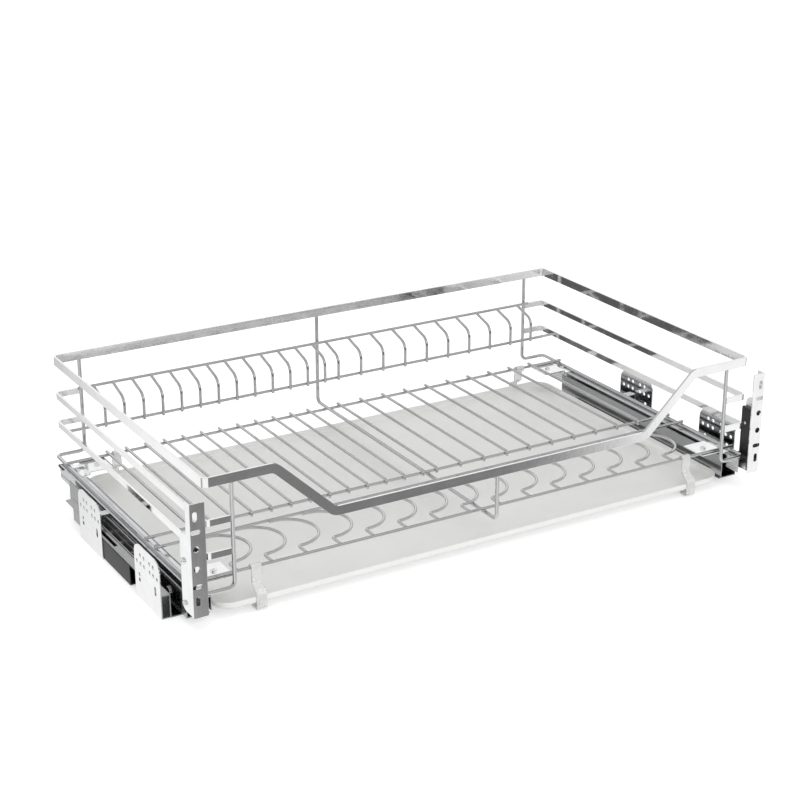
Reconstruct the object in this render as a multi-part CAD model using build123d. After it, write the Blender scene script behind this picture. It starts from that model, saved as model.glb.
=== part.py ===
from build123d import *
import os
from math import atan2, tan

# A pull-out basket for a kitchen cabinet, on two soft-close slides.
# Lengths are millimetres. x runs across the cabinet, y from the front (negative) to the back, z up.
# The origin is at the bottom of the wall brackets, in the middle of the space the object fills.
# The slides are shut. "Out" is a distance from the middle plane, the same to the left and the right.

SIDES = {"left": -1, "right": 1}

# ---- overall ----
CABINET_WIDTH = 864.0      # between the faces that the wall brackets touch
BASKET_DEPTH = 477.5       # over the rails, front to back
PLATE_LEAD = 10.0          # front plates stand this far ahead of the rails
SIDE_ROOM = 34.5           # from a cabinet wall to the outside of the rails
WELD_GAP = 0.02            # left between two welded wires
SHEET = 1.5                # steel sheet of slides, brackets and plates
PLAY = 0.3                 # running clearance beside a ball or roller

# ---- rails ----
RAIL_THICKNESS = 3.0
TOP_RAIL_HEIGHT = 12.0
TOP_RAIL_TOP = 192.0
RAIL_CORNER = 8.0
LOW_RAIL_HEIGHT = 8.0
MIDDLE_RAIL_Z = 136.0
LOWER_RAIL_Z = 95.0
DIP_DEPTH = 72.5           # how far the front of the top rail drops
DIP_LOW_HALF = 229.0       # half of the low stretch
DIP_SLOPE_RUN = 77.0       # sideways length of each slope
DIP_BEND = 10.0            # inner radius of the four bends

# ---- frame wires ----
FRAME_WIRE = 5.0
FRAME_BEND = 8.0
POST_INSET = 36.7          # from the outside of the rails to the corner posts
RUN_INSET = 6.0            # from the outside of the drawer member to the side frame's long run

# ---- floor wires ----
FLOOR_WIRE = 4.0
FRONT_WIRE_INSET = 28.7    # from the front of the rails
HOLDER_DEPTH = 105.8       # from the front wire to the one behind the jar holders
FIELD_GAP = 30.4           # from there to the wire at the front of the plate wires
REAR_WIRE_INSET = 44.9     # from the back of the rails
HOLDER_COUNT = 15
HOLDER_PITCH = 46.1
HOLDER_LEG = 23.0          # from the front wire to a holder's bend
HOLDER_BEND = 4.0
HOLDER_TAIL = 4.0          # straight end that lies along the wire behind it
FIELD_HALF = 345.0         # from the middle to the outermost plate wires
FIELD_MIDDLE = 11.0        # from the middle to the innermost plate wires
LEFT_PLATE_WIRE_COUNT = 13
RIGHT_PLATE_WIRE_COUNT = 10
WIRE_OVERHANG = 3.0        # a wire's end beyond the one it is welded to

# ---- rack at the back ----
RACK_UPPER_Z = 140.8
RACK_LOWER_Z = 97.1
RACK_LOWER_INSET = 42.1    # from the back of the rails
RACK_SHOULDER_Z = 130.0
RACK_BEND = 14.0

# ---- slides, from the cabinet wall inwards ----
HOUSING_SPACE = 9.5        # between wall bracket and slide web, for the soft-close unit
ROLLER_GAP = 7.5           # from cabinet member to intermediate member
BALL_GAP = 3.5             # from intermediate member to drawer member
DRAWER_MEMBER_WIDTH = 16.0
DRAWER_MEMBER_HEIGHT = 19.5
DRAWER_TOP_GAP = 4.0       # drawer member's top above the intermediate member's walls
INTERMEDIATE_HEIGHT = 33.0
WEB_HEIGHT = 31.0
FOOT = 3.5                 # intermediate member's foot, held down by the cabinet member's lip
FOOT_PLAY = 1.0
LIP_Z = 12.5
EDGE_ROUND = 0.5
DRAWER_REAR_INSET = 27.5   # from the back of the rails to the drawer member's end
INTERMEDIATE_INSETS = (27.0, 75.5)     # from front and back of the rails
CABINET_MEMBER_INSETS = (54.0, 109.5)

# ---- balls and rollers ----
BALL_RADIUS = 2.2
BALL_Z = 34.0
BALL_COUNT = 9
BALL_PITCH = 20.0
BALL_HOLE_PLAY = 0.05
BALL_CAGE_LENGTH = 180.0
BALL_CAGE_SHIFT = 23.5     # behind the middle of the intermediate member
CAGE_SHEET = 1.0
BALL_CAGE_TOP = 38.0
BALL_CAGE_BOTTOM = 12.0
ROLLER_LENGTH = 12.0
ROLLER_PITCH = 34.0
FLAT_ROLLER_COUNT = 4
ROLLER_WINDOW_PLAY = 0.2
ROLLER_CAGE_LENGTH = 130.0
ROLLER_CAGE_SHIFT = 12.5   # behind the middle of the intermediate member
ROLLER_CAGE_TOP = 28.0
ROLLER_CAGE_INNER = 2.5    # cage edge to the cabinet member's inner wall
UPRIGHT_ROLLER_Z = 18.0
STOP_RIVET_RADIUS = 5.5
STOP_RIVET_HEAD = 1.8
STOP_RIVET_INSET = 49.0    # from the intermediate member's front end

# ---- wall brackets ----
BRACKET_LENGTH = 76.0
BRACKET_HEIGHT = 72.0
BRACKET_ROUND = 14.0
REAR_BRACKET_INSET = 54.0  # from the cabinet member's rear end to the rear bracket
BRACKET_HOLE = 5.0
UPPER_ROW_Z = 60.0
LOWER_ROW_Z = 49.0
INNER_HOLE = 8.5
MIDDLE_HOLE = 19.0
OUTER_HOLE = 30.0
TWIN_HOLE_OFFSET = 24.0
TWIN_HOLE_Z = (26.0, 33.0)
SLOT_LENGTH = 12.0
SLOT_Z = 31.0
SLOT_OFFSET = -23.0

# ---- soft-close unit ----
HOUSING_LENGTH = 159.0
HOUSING_INSET = 56.0       # from the cabinet member's rear end to the case
HOUSING_TOP = 28.0
HOUSING_PLAY = 0.3
HOUSING_WALL = 1.2
CATCH_SLOT = 85.0          # length of the slot that the catch runs in
CATCH_WIDTH = 4.0
SLIDER_LENGTH = 16.0
SLIDER_PLAY = 0.3
CATCH_TOP = 39.0
CATCH_LENGTH = 6.0
ARM_INSET = 34.0           # from the case's rear end to the middle of the arm
ARM_LENGTH = 12.0
ARM_LIFT = 1.0             # above the intermediate member's wall
ARM_DROP_Z = 33.0
DAMPER_RADIUS = 2.8
DAMPER_LENGTH = 80.0
DAMPER_INSET = 25.0        # from the case's front end to the damper
DAMPER_Z = 9.0
ROD_RADIUS = 1.0
SPRING_Z = 19.5
SPRING_BORE = 2.0

# ---- front plates ----
PLATE_WIDTH = 18.6
PLATE_SPAN = (27.0, 169.0)
FLANGE_GAP = 9.8           # from the drawer member to the front plate's flange
NARROW_FLANGE = 13.0
WIDE_FLANGE = 31.0
WIDE_FLANGE_SPAN = (28.0, 127.0)
FLANGE_ROUND = 10.0
HOLE_LINE = 6.2            # from the plate's outer edge to the middle of its holes
PLATE_HOLE = 7.6
PLATE_SLOT = (5.5, 12.0)
PLATE_HOLE_Z = (113.0, 88.0)
UPRIGHT_SLOT_Z = (153.0, 48.0)
LEVEL_SLOT_Z = (134.0, 66.0)
CATCH_BLOCK_SPAN = (26.0, 46.0)
CATCH_BLOCK_DEPTH = 32.0
CATCH_UPRIGHT_TOP = 112.0
CATCH_UPRIGHT_THICKNESS = 4.0
PLATE_SCREW_Z = (91.0, 37.0)
PLATE_SCREW_SETBACK = 23.0

# ---- fixing plates under the floor wires ----
FIXING_LENGTH = 40.0
FIXING_REACH = 34.0        # width of the raised pad
FIXING_FOOT = 14.0
FIXING_EDGE = 2.7          # pad's edge beyond the wire that it is welded to
FIXING_SCREW_INSET = 17.0

# ---- screws ----
SCREW_RADIUS = 2.0
SCREW_HEAD_RADIUS = 4.2
SCREW_HEAD = 2.2
SCREW_LENGTH = 8.0
CROSS_WIDTH = 1.1
CROSS_DEPTH = 1.1
CROSS_SPAN = 4.6
HOLE_PLAY = 0.15
FOOT_SCREW_HEAD_RADIUS = 3.2

# ---- drip tray ----
TRAY_GAP = 2.5             # from tray to slides
TRAY_BOTTOM = 12.0
TRAY_HEIGHT = 9.0
TRAY_SHEET = 1.0
TRAY_CORNER = 25.0
TRAY_BOTTOM_ROUND = 4.0
TRAY_LEAD = 14.5           # tray beyond the wires that its clips hang from
CLIP_X = 321.5
CLIP_WIDTH = 13.0
CLIP_THICKNESS = 2.0
CLIP_PLAY = 0.1
CLIP_TAIL = 4.0
CLIP_STEP_Z = (33.0, 24.5)
CLIP_CURL = 3.0
CLIP_TOE = 14.0            # from the clip's outside back to its upturned tip
CLIP_TOE_Z = 4.5

# ---- rear end caps ----
CAP_LENGTH = 15.0
CAP_BOTTOM = 30.0
CAP_EAR = 1.6
CAP_PLAY = 0.4

# ---- worked out from the sizes above ----
WIRE_PROUD = (FRAME_WIRE - RAIL_THICKNESS) / 2
OVERALL_DEPTH = PLATE_LEAD + BASKET_DEPTH + WIRE_PROUD
REAR_Y = OVERALL_DEPTH / 2 - WIRE_PROUD
PLATE_FACE_Y = -OVERALL_DEPTH / 2
RAIL_FRONT_Y = REAR_Y - BASKET_DEPTH
RAIL_OUT = CABINET_WIDTH / 2 - SIDE_ROOM
FRONT_POST_Y = RAIL_FRONT_Y + RAIL_THICKNESS / 2
REAR_POST_Y = REAR_Y - RAIL_THICKNESS / 2
POST_OUT = RAIL_OUT - POST_INSET
FRAME_R = FRAME_WIRE / 2
FLOOR_R = FLOOR_WIRE / 2
TOP_RAIL_BOTTOM = TOP_RAIL_TOP - TOP_RAIL_HEIGHT
LOWER_RAIL_INSIDE = RAIL_OUT - RAIL_THICKNESS
FRONT_WIRE_Y = RAIL_FRONT_Y + FRONT_WIRE_INSET
HOLDER_BACK_Y = FRONT_WIRE_Y + HOLDER_DEPTH
PLATE_FRONT_Y = HOLDER_BACK_Y + FIELD_GAP
REAR_WIRE_Y = REAR_Y - REAR_WIRE_INSET
RACK_LOWER_Y = REAR_Y - RACK_LOWER_INSET
PLATE_WIRE_COUNTS = {"left": LEFT_PLATE_WIRE_COUNT, "right": RIGHT_PLATE_WIRE_COUNT}

WALL_OUT = CABINET_WIDTH / 2
BRACKET_IN = WALL_OUT - SHEET
WEB_OUT = BRACKET_IN - HOUSING_SPACE
WEB_IN = WEB_OUT - SHEET
OUTER_WALL_OUT = WEB_IN - ROLLER_GAP
OUTER_WALL_IN = OUTER_WALL_OUT - SHEET
DRAWER_OUT = OUTER_WALL_IN - BALL_GAP
DRAWER_IN = DRAWER_OUT - DRAWER_MEMBER_WIDTH
INNER_WALL_OUT = DRAWER_IN - BALL_GAP
INNER_WALL_IN = INNER_WALL_OUT - SHEET
FOOT_IN = INNER_WALL_IN - FOOT
GUARD_OUT = FOOT_IN - FOOT_PLAY
GUARD_IN = GUARD_OUT - SHEET
INTERMEDIATE_BASE = SHEET + ROLLER_GAP
INTERMEDIATE_TOP = INTERMEDIATE_BASE + INTERMEDIATE_HEIGHT
DRAWER_TOP = INTERMEDIATE_TOP + DRAWER_TOP_GAP
DRAWER_BOTTOM = DRAWER_TOP - DRAWER_MEMBER_HEIGHT
DRAWER_SPAN = (RAIL_FRONT_Y, REAR_Y - DRAWER_REAR_INSET)
INTERMEDIATE_SPAN = (RAIL_FRONT_Y + INTERMEDIATE_INSETS[0], REAR_Y - INTERMEDIATE_INSETS[1])
CABINET_MEMBER_SPAN = (RAIL_FRONT_Y + CABINET_MEMBER_INSETS[0], REAR_Y - CABINET_MEMBER_INSETS[1])
INTERMEDIATE_MIDDLE_Y = sum(INTERMEDIATE_SPAN) / 2
BALL_CAGE_Y = INTERMEDIATE_MIDDLE_Y + BALL_CAGE_SHIFT
ROLLER_CAGE_Y = INTERMEDIATE_MIDDLE_Y + ROLLER_CAGE_SHIFT
STOP_RIVET_Y = INTERMEDIATE_SPAN[0] + STOP_RIVET_INSET
FRONT_BRACKET_Y = CABINET_MEMBER_SPAN[0] + BRACKET_LENGTH / 2
REAR_BRACKET_Y = CABINET_MEMBER_SPAN[1] - REAR_BRACKET_INSET - BRACKET_LENGTH / 2
HOUSING_REAR_Y = CABINET_MEMBER_SPAN[1] - HOUSING_INSET
HOUSING_SPAN = (HOUSING_REAR_Y - HOUSING_LENGTH, HOUSING_REAR_Y)
ARM_Y = HOUSING_REAR_Y - ARM_INSET
DAMPER_FRONT_Y = HOUSING_SPAN[0] + DAMPER_INSET
GROOVE_RADIUS = BALL_RADIUS + PLAY
BALL_OUT = (DRAWER_OUT + BALL_GAP / 2, DRAWER_IN - BALL_GAP / 2)
ROLLER_RADIUS = ROLLER_GAP / 2 - PLAY
FLAT_ROLLER_Z = SHEET + ROLLER_GAP / 2
FLAT_ROLLER_OUT = (DRAWER_IN + DRAWER_OUT) / 2
UPRIGHT_ROLLER_OUT = WEB_IN - ROLLER_GAP / 2

RUN_OUT = DRAWER_OUT - RUN_INSET
RUN_Z = DRAWER_TOP + FRAME_R + WELD_GAP
CROSS_Z = RUN_Z + FRAME_R + FLOOR_R + WELD_GAP
CROSS_OUT = RUN_OUT + FRAME_R
PLATE_WIRE_Z = CROSS_Z + FLOOR_WIRE + WELD_GAP
WIRE_STEP = FLOOR_WIRE + WELD_GAP

HOUSING_OUT = (WEB_OUT + HOUSING_PLAY, BRACKET_IN - HOUSING_PLAY)
CATCH_OUT = (HOUSING_OUT[0] + HOUSING_OUT[1]) / 2
FLANGE_IN = DRAWER_OUT + FLANGE_GAP
PLATE_OUT = FLANGE_IN + SHEET
PLATE_HOLE_OUT = PLATE_OUT - HOLE_LINE
PLATE_BACK_Y = PLATE_FACE_Y + SHEET


def block(x_span, y_span, z_span):
    """A plain box between the given limits on each axis."""
    low = [min(span) for span in (x_span, y_span, z_span)]
    size = [max(span) - min(span) for span in (x_span, y_span, z_span)]
    return Pos(*low) * Box(*size, align=(Align.MIN, Align.MIN, Align.MIN))


def side_block(side, out_span, y_span, z_span):
    """A box on the left (-1) or the right (1), with its x limits given as distances out."""
    return block([side * out for out in out_span], y_span, z_span)


def rod(start, end, radius):
    """A straight round wire."""
    axis = Vector(*end) - Vector(*start)
    return Solid.make_cylinder(radius, axis.length, Plane(origin=start, z_dir=axis))


def swept_wire(path, radius):
    """A round wire along a path."""
    section = Plane(origin=path @ 0, z_dir=path % 0) * Circle(radius)
    return sweep(section, path=path)


def bent_wire(points, radius, bend):
    """A round wire through the points, bent at each corner."""
    return swept_wire(FilletPolyline(*points, radius=bend), radius)


def solids_of(shapes):
    """One group of separate solids."""
    return Compound(children=[solid for shape in shapes for solid in shape.solids()])


def rail_ring(height, top):
    """A flat band standing on edge, right round the basket."""
    middle_y = RAIL_FRONT_Y + BASKET_DEPTH / 2
    outside = RectangleRounded(2 * RAIL_OUT, BASKET_DEPTH, RAIL_CORNER)
    inside = RectangleRounded(
        2 * (RAIL_OUT - RAIL_THICKNESS), BASKET_DEPTH - 2 * RAIL_THICKNESS, RAIL_CORNER - RAIL_THICKNESS
    )
    return Pos(0, middle_y, top - height) * extrude(outside - inside, amount=height)


def dipped_front():
    """The front of the top rail, which drops to a low stretch in the middle."""
    half_height = TOP_RAIL_HEIGHT / 2
    high_half = DIP_LOW_HALF + DIP_SLOPE_RUN
    high_z = TOP_RAIL_TOP - half_height
    low_z = high_z - DIP_DEPTH
    mitre = half_height * tan(atan2(DIP_DEPTH, DIP_SLOPE_RUN) / 2)
    end = high_half + 2 * (DIP_BEND + TOP_RAIL_HEIGHT)

    def edge_points(lift, shift):
        high = high_z + lift
        right = [(DIP_LOW_HALF + shift, low_z + lift), (high_half + shift, high), (end, high)]
        left = [(-x, z) for x, z in reversed(right)]
        return left + right

    upper = edge_points(half_height, -mitre)
    lower = edge_points(-half_height, mitre)
    upper_edge = FilletPolyline(*upper, radius=[DIP_BEND + TOP_RAIL_HEIGHT, DIP_BEND, DIP_BEND,
                                                DIP_BEND + TOP_RAIL_HEIGHT])
    lower_edge = FilletPolyline(*lower, radius=[DIP_BEND, DIP_BEND + TOP_RAIL_HEIGHT,
                                                DIP_BEND + TOP_RAIL_HEIGHT, DIP_BEND])
    left_end = Line(upper[0], lower[0])
    right_end = Line(upper[-1], lower[-1])
    outline = make_face([*upper_edge.edges(), right_end, *lower_edge.edges(), left_end])
    standing = Plane(origin=(0, RAIL_FRONT_Y, 0), x_dir=(1, 0, 0), z_dir=(0, -1, 0))
    return extrude(standing * outline, amount=-RAIL_THICKNESS), end


def top_rail():
    """The closed top band with its dipped front."""
    front, end = dipped_front()
    reach = RAIL_CORNER
    gap = block((-end, end), (RAIL_FRONT_Y - reach, RAIL_FRONT_Y + reach), (0, TOP_RAIL_TOP + reach))
    return (rail_ring(TOP_RAIL_HEIGHT, TOP_RAIL_TOP) - gap) + front


def side_rail(side, middle_z):
    """A lower side band: it turns in at both ends and stops at the corner posts."""
    ring = rail_ring(LOW_RAIL_HEIGHT, middle_z + LOW_RAIL_HEIGHT / 2)
    start = POST_OUT + FRAME_R + WELD_GAP
    kept = side_block(side, (start, WALL_OUT), (-OVERALL_DEPTH, OVERALL_DEPTH), (0, TOP_RAIL_TOP))
    return ring & kept


def side_frame(side):
    """One wire: front post, a long run on top of the slide, and rear post."""
    post_top = TOP_RAIL_BOTTOM - WELD_GAP
    points = [
        (side * POST_OUT, FRONT_POST_Y, post_top),
        (side * POST_OUT, FRONT_POST_Y, RUN_Z),
        (side * RUN_OUT, FRONT_POST_Y, RUN_Z),
        (side * RUN_OUT, REAR_POST_Y, RUN_Z),
        (side * POST_OUT, REAR_POST_Y, RUN_Z),
        (side * POST_OUT, REAR_POST_Y, post_top),
    ]
    return bent_wire(points, FRAME_R, FRAME_BEND)


def centre_frame():
    """One wire under the middle of the floor, from the dip in the front band to the rear band."""
    points = [
        (0, FRONT_POST_Y, TOP_RAIL_BOTTOM - DIP_DEPTH - WELD_GAP),
        (0, FRONT_POST_Y, RUN_Z),
        (0, REAR_POST_Y, RUN_Z),
        (0, REAR_POST_Y, TOP_RAIL_BOTTOM - WELD_GAP),
    ]
    return bent_wire(points, FRAME_R, FRAME_BEND)


def cross_wire(y):
    """A straight floor wire from side to side."""
    return rod((-CROSS_OUT, y, CROSS_Z), (CROSS_OUT, y, CROSS_Z), FLOOR_R)


def holder_arcs():
    """A row of half rings that keep jars and bottles apart, between two floor wires."""
    ring_front = FRONT_WIRE_Y + HOLDER_LEG
    ring_back = HOLDER_BACK_Y - WIRE_STEP
    radius = (ring_back - ring_front) / 2
    middle_y = (ring_back + ring_front) / 2
    first = -((HOLDER_COUNT - 1) * HOLDER_PITCH + radius + HOLDER_BEND) / 2
    cos45 = 0.5 ** 0.5
    arcs = []
    for number in range(HOLDER_COUNT):
        leg_x = first + number * HOLDER_PITCH
        ring_x = leg_x + HOLDER_BEND
        bend_y = ring_front - HOLDER_BEND
        bend_middle = (leg_x + HOLDER_BEND * (1 - cos45), bend_y + HOLDER_BEND * cos45, CROSS_Z)
        path = Wire([
            Edge.make_line((leg_x, FRONT_WIRE_Y + WIRE_STEP / 2, CROSS_Z), (leg_x, bend_y, CROSS_Z)),
            Edge.make_three_point_arc((leg_x, bend_y, CROSS_Z), bend_middle, (ring_x, ring_front, CROSS_Z)),
            Edge.make_three_point_arc(
                (ring_x, ring_front, CROSS_Z),
                (ring_x + radius, middle_y, CROSS_Z),
                (ring_x, ring_back, CROSS_Z),
            ),
            Edge.make_line((ring_x, ring_back, CROSS_Z), (ring_x - HOLDER_TAIL, ring_back, CROSS_Z)),
        ])
        arcs.append(swept_wire(path, FLOOR_R))
    return solids_of(arcs)


def field_places(name):
    """The x of each plate wire on one side, evenly spaced from the outermost to the innermost."""
    count = PLATE_WIRE_COUNTS[name]
    pitch = (FIELD_HALF - FIELD_MIDDLE) / (count - 1)
    return [SIDES[name] * (FIELD_HALF - pitch * number) for number in range(count)]


def plate_wires(name):
    """Floor wires front to back on one side, each with its front end bent down over a cross wire."""
    wires = []
    for x in field_places(name):
        points = [
            (x, REAR_WIRE_Y + WIRE_OVERHANG, PLATE_WIRE_Z),
            (x, PLATE_FRONT_Y - WIRE_STEP, PLATE_WIRE_Z),
            (x, PLATE_FRONT_Y - WIRE_STEP, CROSS_Z - FLOOR_R),
        ]
        wires.append(bent_wire(points, FLOOR_R, WIRE_STEP))
    return solids_of(wires)


RACK_UPPER_Y = REAR_POST_Y - FRAME_R - FLOOR_R - WELD_GAP


def rack_upper_wire():
    """The rack's upper wire, across the front of the rear posts."""
    end = POST_OUT + FRAME_R + WIRE_OVERHANG
    return rod((-end, RACK_UPPER_Y, RACK_UPPER_Z), (end, RACK_UPPER_Y, RACK_UPPER_Z), FLOOR_R)


def rack_lower_wire():
    """The rack's lower wire, from one lower side band to the other."""
    end = LOWER_RAIL_INSIDE - WELD_GAP
    return rod((-end, RACK_LOWER_Y, RACK_LOWER_Z), (end, RACK_LOWER_Y, RACK_LOWER_Z), FLOOR_R)


def rack_wires(name):
    """Wires that slope down from the upper rack wire and turn down in front of the lower one."""
    front_y = RACK_LOWER_Y - WIRE_STEP
    slope = atan2(RACK_UPPER_Z - RACK_SHOULDER_Z, RACK_UPPER_Y - front_y)
    start_y = RACK_UPPER_Y - FLOOR_R * (1 + tan(slope)) - WELD_GAP
    wires = []
    for x in field_places(name):
        points = [
            (x, start_y, RACK_UPPER_Z),
            (x, front_y, RACK_SHOULDER_Z),
            (x, front_y, RACK_LOWER_Z - FLOOR_R),
        ]
        wires.append(bent_wire(points, FLOOR_R, RACK_BEND))
    return solids_of(wires)


def screw(place, direction, head_radius=SCREW_HEAD_RADIUS):
    """A pan-head screw with a cross slot. Its head stands on the place, its shank goes along direction."""
    upright = (Align.CENTER, Align.CENTER, Align.MIN)
    head = Pos(0, 0, -SCREW_HEAD) * Cylinder(head_radius, SCREW_HEAD, align=upright)
    head = fillet(head.edges().group_by(Axis.Z)[0], SCREW_HEAD / 2)
    shank = Cylinder(SCREW_RADIUS, SCREW_LENGTH, align=upright)
    slot_z = -SCREW_HEAD + CROSS_DEPTH / 2
    cross = Box(CROSS_SPAN, CROSS_WIDTH, CROSS_DEPTH) + Box(CROSS_WIDTH, CROSS_SPAN, CROSS_DEPTH)
    slots = Pos(0, 0, slot_z) * cross
    return Plane(origin=place, z_dir=direction) * (head + shank - slots)


def screw_hole(place, direction):
    """The hole that a screw passes through."""
    reach = 2 * SCREW_LENGTH
    middle = Vector(*place) - Vector(*direction) * (reach / 2)
    return Solid.make_cylinder(SCREW_RADIUS + HOLE_PLAY, reach, Plane(origin=middle, z_dir=direction))


# The fixing plates: a raised pad welded under the floor wires, and a foot on the drawer member.
PAD_TOP = CROSS_Z - FLOOR_R - WELD_GAP
FIXING_FOOT_OUT = RUN_OUT - FRAME_R - PLAY
FIXING_RISER_OUT = FIXING_FOOT_OUT - FIXING_FOOT
PAD_IN = FIXING_RISER_OUT - FIXING_REACH
FIXING_SPANS = (
    (FRONT_WIRE_Y - FIXING_EDGE, FRONT_WIRE_Y - FIXING_EDGE + FIXING_LENGTH),
    (REAR_WIRE_Y + FIXING_EDGE - FIXING_LENGTH, REAR_WIRE_Y + FIXING_EDGE),
)
PAD_SCREW_OUT = PAD_IN + FIXING_SCREW_INSET
FOOT_SCREW_OUT = (DRAWER_IN + FIXING_FOOT_OUT) / 2


def fixing_screw_places(side):
    """Where the screws of both plates on one side sit: on the pad and on the foot."""
    places = []
    for span in FIXING_SPANS:
        middle_y = sum(span) / 2
        places.append((side * PAD_SCREW_OUT, middle_y, PAD_TOP))
        places.append((side * FOOT_SCREW_OUT, middle_y, DRAWER_TOP + SHEET))
    return places


def fixing_plates(side):
    """Two stepped plates, front and rear."""
    plates = []
    for span in FIXING_SPANS:
        pad = side_block(side, (PAD_IN, FIXING_RISER_OUT + SHEET), span, (PAD_TOP - SHEET, PAD_TOP))
        riser = side_block(side, (FIXING_RISER_OUT, FIXING_RISER_OUT + SHEET), span, (DRAWER_TOP, PAD_TOP))
        foot = side_block(side, (FIXING_RISER_OUT, FIXING_FOOT_OUT), span, (DRAWER_TOP, DRAWER_TOP + SHEET))
        plates.append(pad + riser + foot)
    joined = solids_of(plates)
    for place in fixing_screw_places(side):
        joined = joined - screw_hole(place, (0, 0, -1))
    return solids_of([joined])


def fixing_screws():
    """The eight screws of the fixing plates."""
    screws = []
    for side in SIDES.values():
        for number, place in enumerate(fixing_screw_places(side)):
            on_foot = number % 2 == 1
            head_radius = FOOT_SCREW_HEAD_RADIUS if on_foot else SCREW_HEAD_RADIUS
            screws.append(screw(place, (0, 0, -1), head_radius))
    return solids_of(screws)


def folded(blocks):
    """Sheet steel folded along y: the blocks joined, with every long edge rounded."""
    joined = blocks[0]
    for piece in blocks[1:]:
        joined = joined + piece
    return fillet(joined.edges().filter_by(Axis.Y), EDGE_ROUND)


def ball_grooves(side, y_span):
    """The two grooves that the ball rows run in."""
    low, high = y_span
    reach = SHEET
    grooves = [
        rod((side * out, low - reach, BALL_Z), (side * out, high + reach, BALL_Z), GROOVE_RADIUS)
        for out in BALL_OUT
    ]
    return grooves[0] + grooves[1]


def drawer_member(side):
    """The moving channel that carries the basket, open at the bottom."""
    y_span = DRAWER_SPAN
    z_span = (DRAWER_BOTTOM, DRAWER_TOP)
    channel = folded([
        side_block(side, (DRAWER_IN, DRAWER_OUT), y_span, (DRAWER_TOP - SHEET, DRAWER_TOP)),
        side_block(side, (DRAWER_OUT - SHEET, DRAWER_OUT), y_span, z_span),
        side_block(side, (DRAWER_IN, DRAWER_IN + SHEET), y_span, z_span),
    ])
    channel = channel - ball_grooves(side, y_span)
    for place in fixing_screw_places(side)[1::2]:
        channel = channel - screw_hole(place, (0, 0, -1))
    return channel


def intermediate_member(side):
    """The channel between drawer member and cabinet member, open at the top, with a foot inside."""
    y_span = INTERMEDIATE_SPAN
    z_span = (INTERMEDIATE_BASE, INTERMEDIATE_TOP)
    base_z = (INTERMEDIATE_BASE, INTERMEDIATE_BASE + SHEET)
    channel = folded([
        side_block(side, (FOOT_IN, OUTER_WALL_OUT), y_span, base_z),
        side_block(side, (OUTER_WALL_IN, OUTER_WALL_OUT), y_span, z_span),
        side_block(side, (INNER_WALL_IN, INNER_WALL_OUT), y_span, z_span),
    ])
    return channel - ball_grooves(side, y_span)


def stop_rivet(side):
    """The rivet head near the front of the intermediate member's outer wall."""
    middle_z = INTERMEDIATE_BASE + INTERMEDIATE_HEIGHT / 2 - SHEET
    start = (side * OUTER_WALL_OUT, STOP_RIVET_Y, middle_z)
    end = (side * (OUTER_WALL_OUT + STOP_RIVET_HEAD), STOP_RIVET_Y, middle_z)
    head = rod(start, end, STOP_RIVET_RADIUS)
    rims = head.edges().filter_by(GeomType.CIRCLE).sort_by(lambda edge: abs(edge.center().X))
    return fillet(rims[-1], EDGE_ROUND)


def cabinet_member(side):
    """The fixed channel: base, outer web with a flange, and a guard with a lip over the foot."""
    y_span = CABINET_MEMBER_SPAN
    channel = folded([
        side_block(side, (GUARD_IN, WEB_OUT), y_span, (0, SHEET)),
        side_block(side, (WEB_IN, WEB_OUT), y_span, (0, WEB_HEIGHT)),
        side_block(side, (WEB_IN, BRACKET_IN), y_span, (WEB_HEIGHT - SHEET, WEB_HEIGHT)),
        side_block(side, (GUARD_IN, GUARD_OUT), y_span, (0, LIP_Z + SHEET)),
        side_block(side, (GUARD_IN, FOOT_IN + FOOT - FOOT_PLAY), y_span, (LIP_Z, LIP_Z + SHEET)),
    ])
    return channel - catch_slot(side, (WEB_HEIGHT - 2 * SHEET, WEB_HEIGHT + SHEET))


def catch_slot(side, z_span):
    """The slot in flange and housing that the catch sticks up through."""
    half = CATCH_WIDTH / 2 + SLIDER_PLAY
    rear = ARM_Y + ARM_LENGTH / 2 + CATCH_LENGTH + 2 * SLIDER_PLAY
    return side_block(side, (CATCH_OUT - half, CATCH_OUT + half), (rear - CATCH_SLOT, rear), z_span)


def balls(side):
    """Two rows of balls between drawer member and intermediate member."""
    first = BALL_CAGE_Y - (BALL_COUNT - 1) * BALL_PITCH / 2
    return solids_of([
        Pos(side * out, first + number * BALL_PITCH, BALL_Z) * Sphere(BALL_RADIUS)
        for out in BALL_OUT
        for number in range(BALL_COUNT)
    ])


def ball_cage(side):
    """A light channel that keeps the balls in step."""
    y_span = (BALL_CAGE_Y - BALL_CAGE_LENGTH / 2, BALL_CAGE_Y + BALL_CAGE_LENGTH / 2)
    half = CAGE_SHEET / 2
    outer, inner = BALL_OUT
    base_z = (BALL_CAGE_BOTTOM, BALL_CAGE_BOTTOM + CAGE_SHEET)
    cage = side_block(side, (inner - half, outer + half), y_span, base_z)
    for out in BALL_OUT:
        cage = cage + side_block(side, (out - half, out + half), y_span, (BALL_CAGE_BOTTOM, BALL_CAGE_TOP))
    first = BALL_CAGE_Y - (BALL_COUNT - 1) * BALL_PITCH / 2
    for out in BALL_OUT:
        for number in range(BALL_COUNT):
            y = first + number * BALL_PITCH
            start = (side * (out - CAGE_SHEET), y, BALL_Z)
            end = (side * (out + CAGE_SHEET), y, BALL_Z)
            cage = cage - rod(start, end, BALL_RADIUS + BALL_HOLE_PLAY)
    return cage


FIRST_ROLLER_Y = ROLLER_CAGE_Y - (FLAT_ROLLER_COUNT - 1) * ROLLER_PITCH / 2
FLAT_ROLLER_PLACES = [FIRST_ROLLER_Y + number * ROLLER_PITCH for number in range(FLAT_ROLLER_COUNT)]
UPRIGHT_ROLLER_PLACES = [y + ROLLER_PITCH / 2 for y in FLAT_ROLLER_PLACES[:-1]]
ROLLER_HALF = ROLLER_LENGTH / 2


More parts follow.
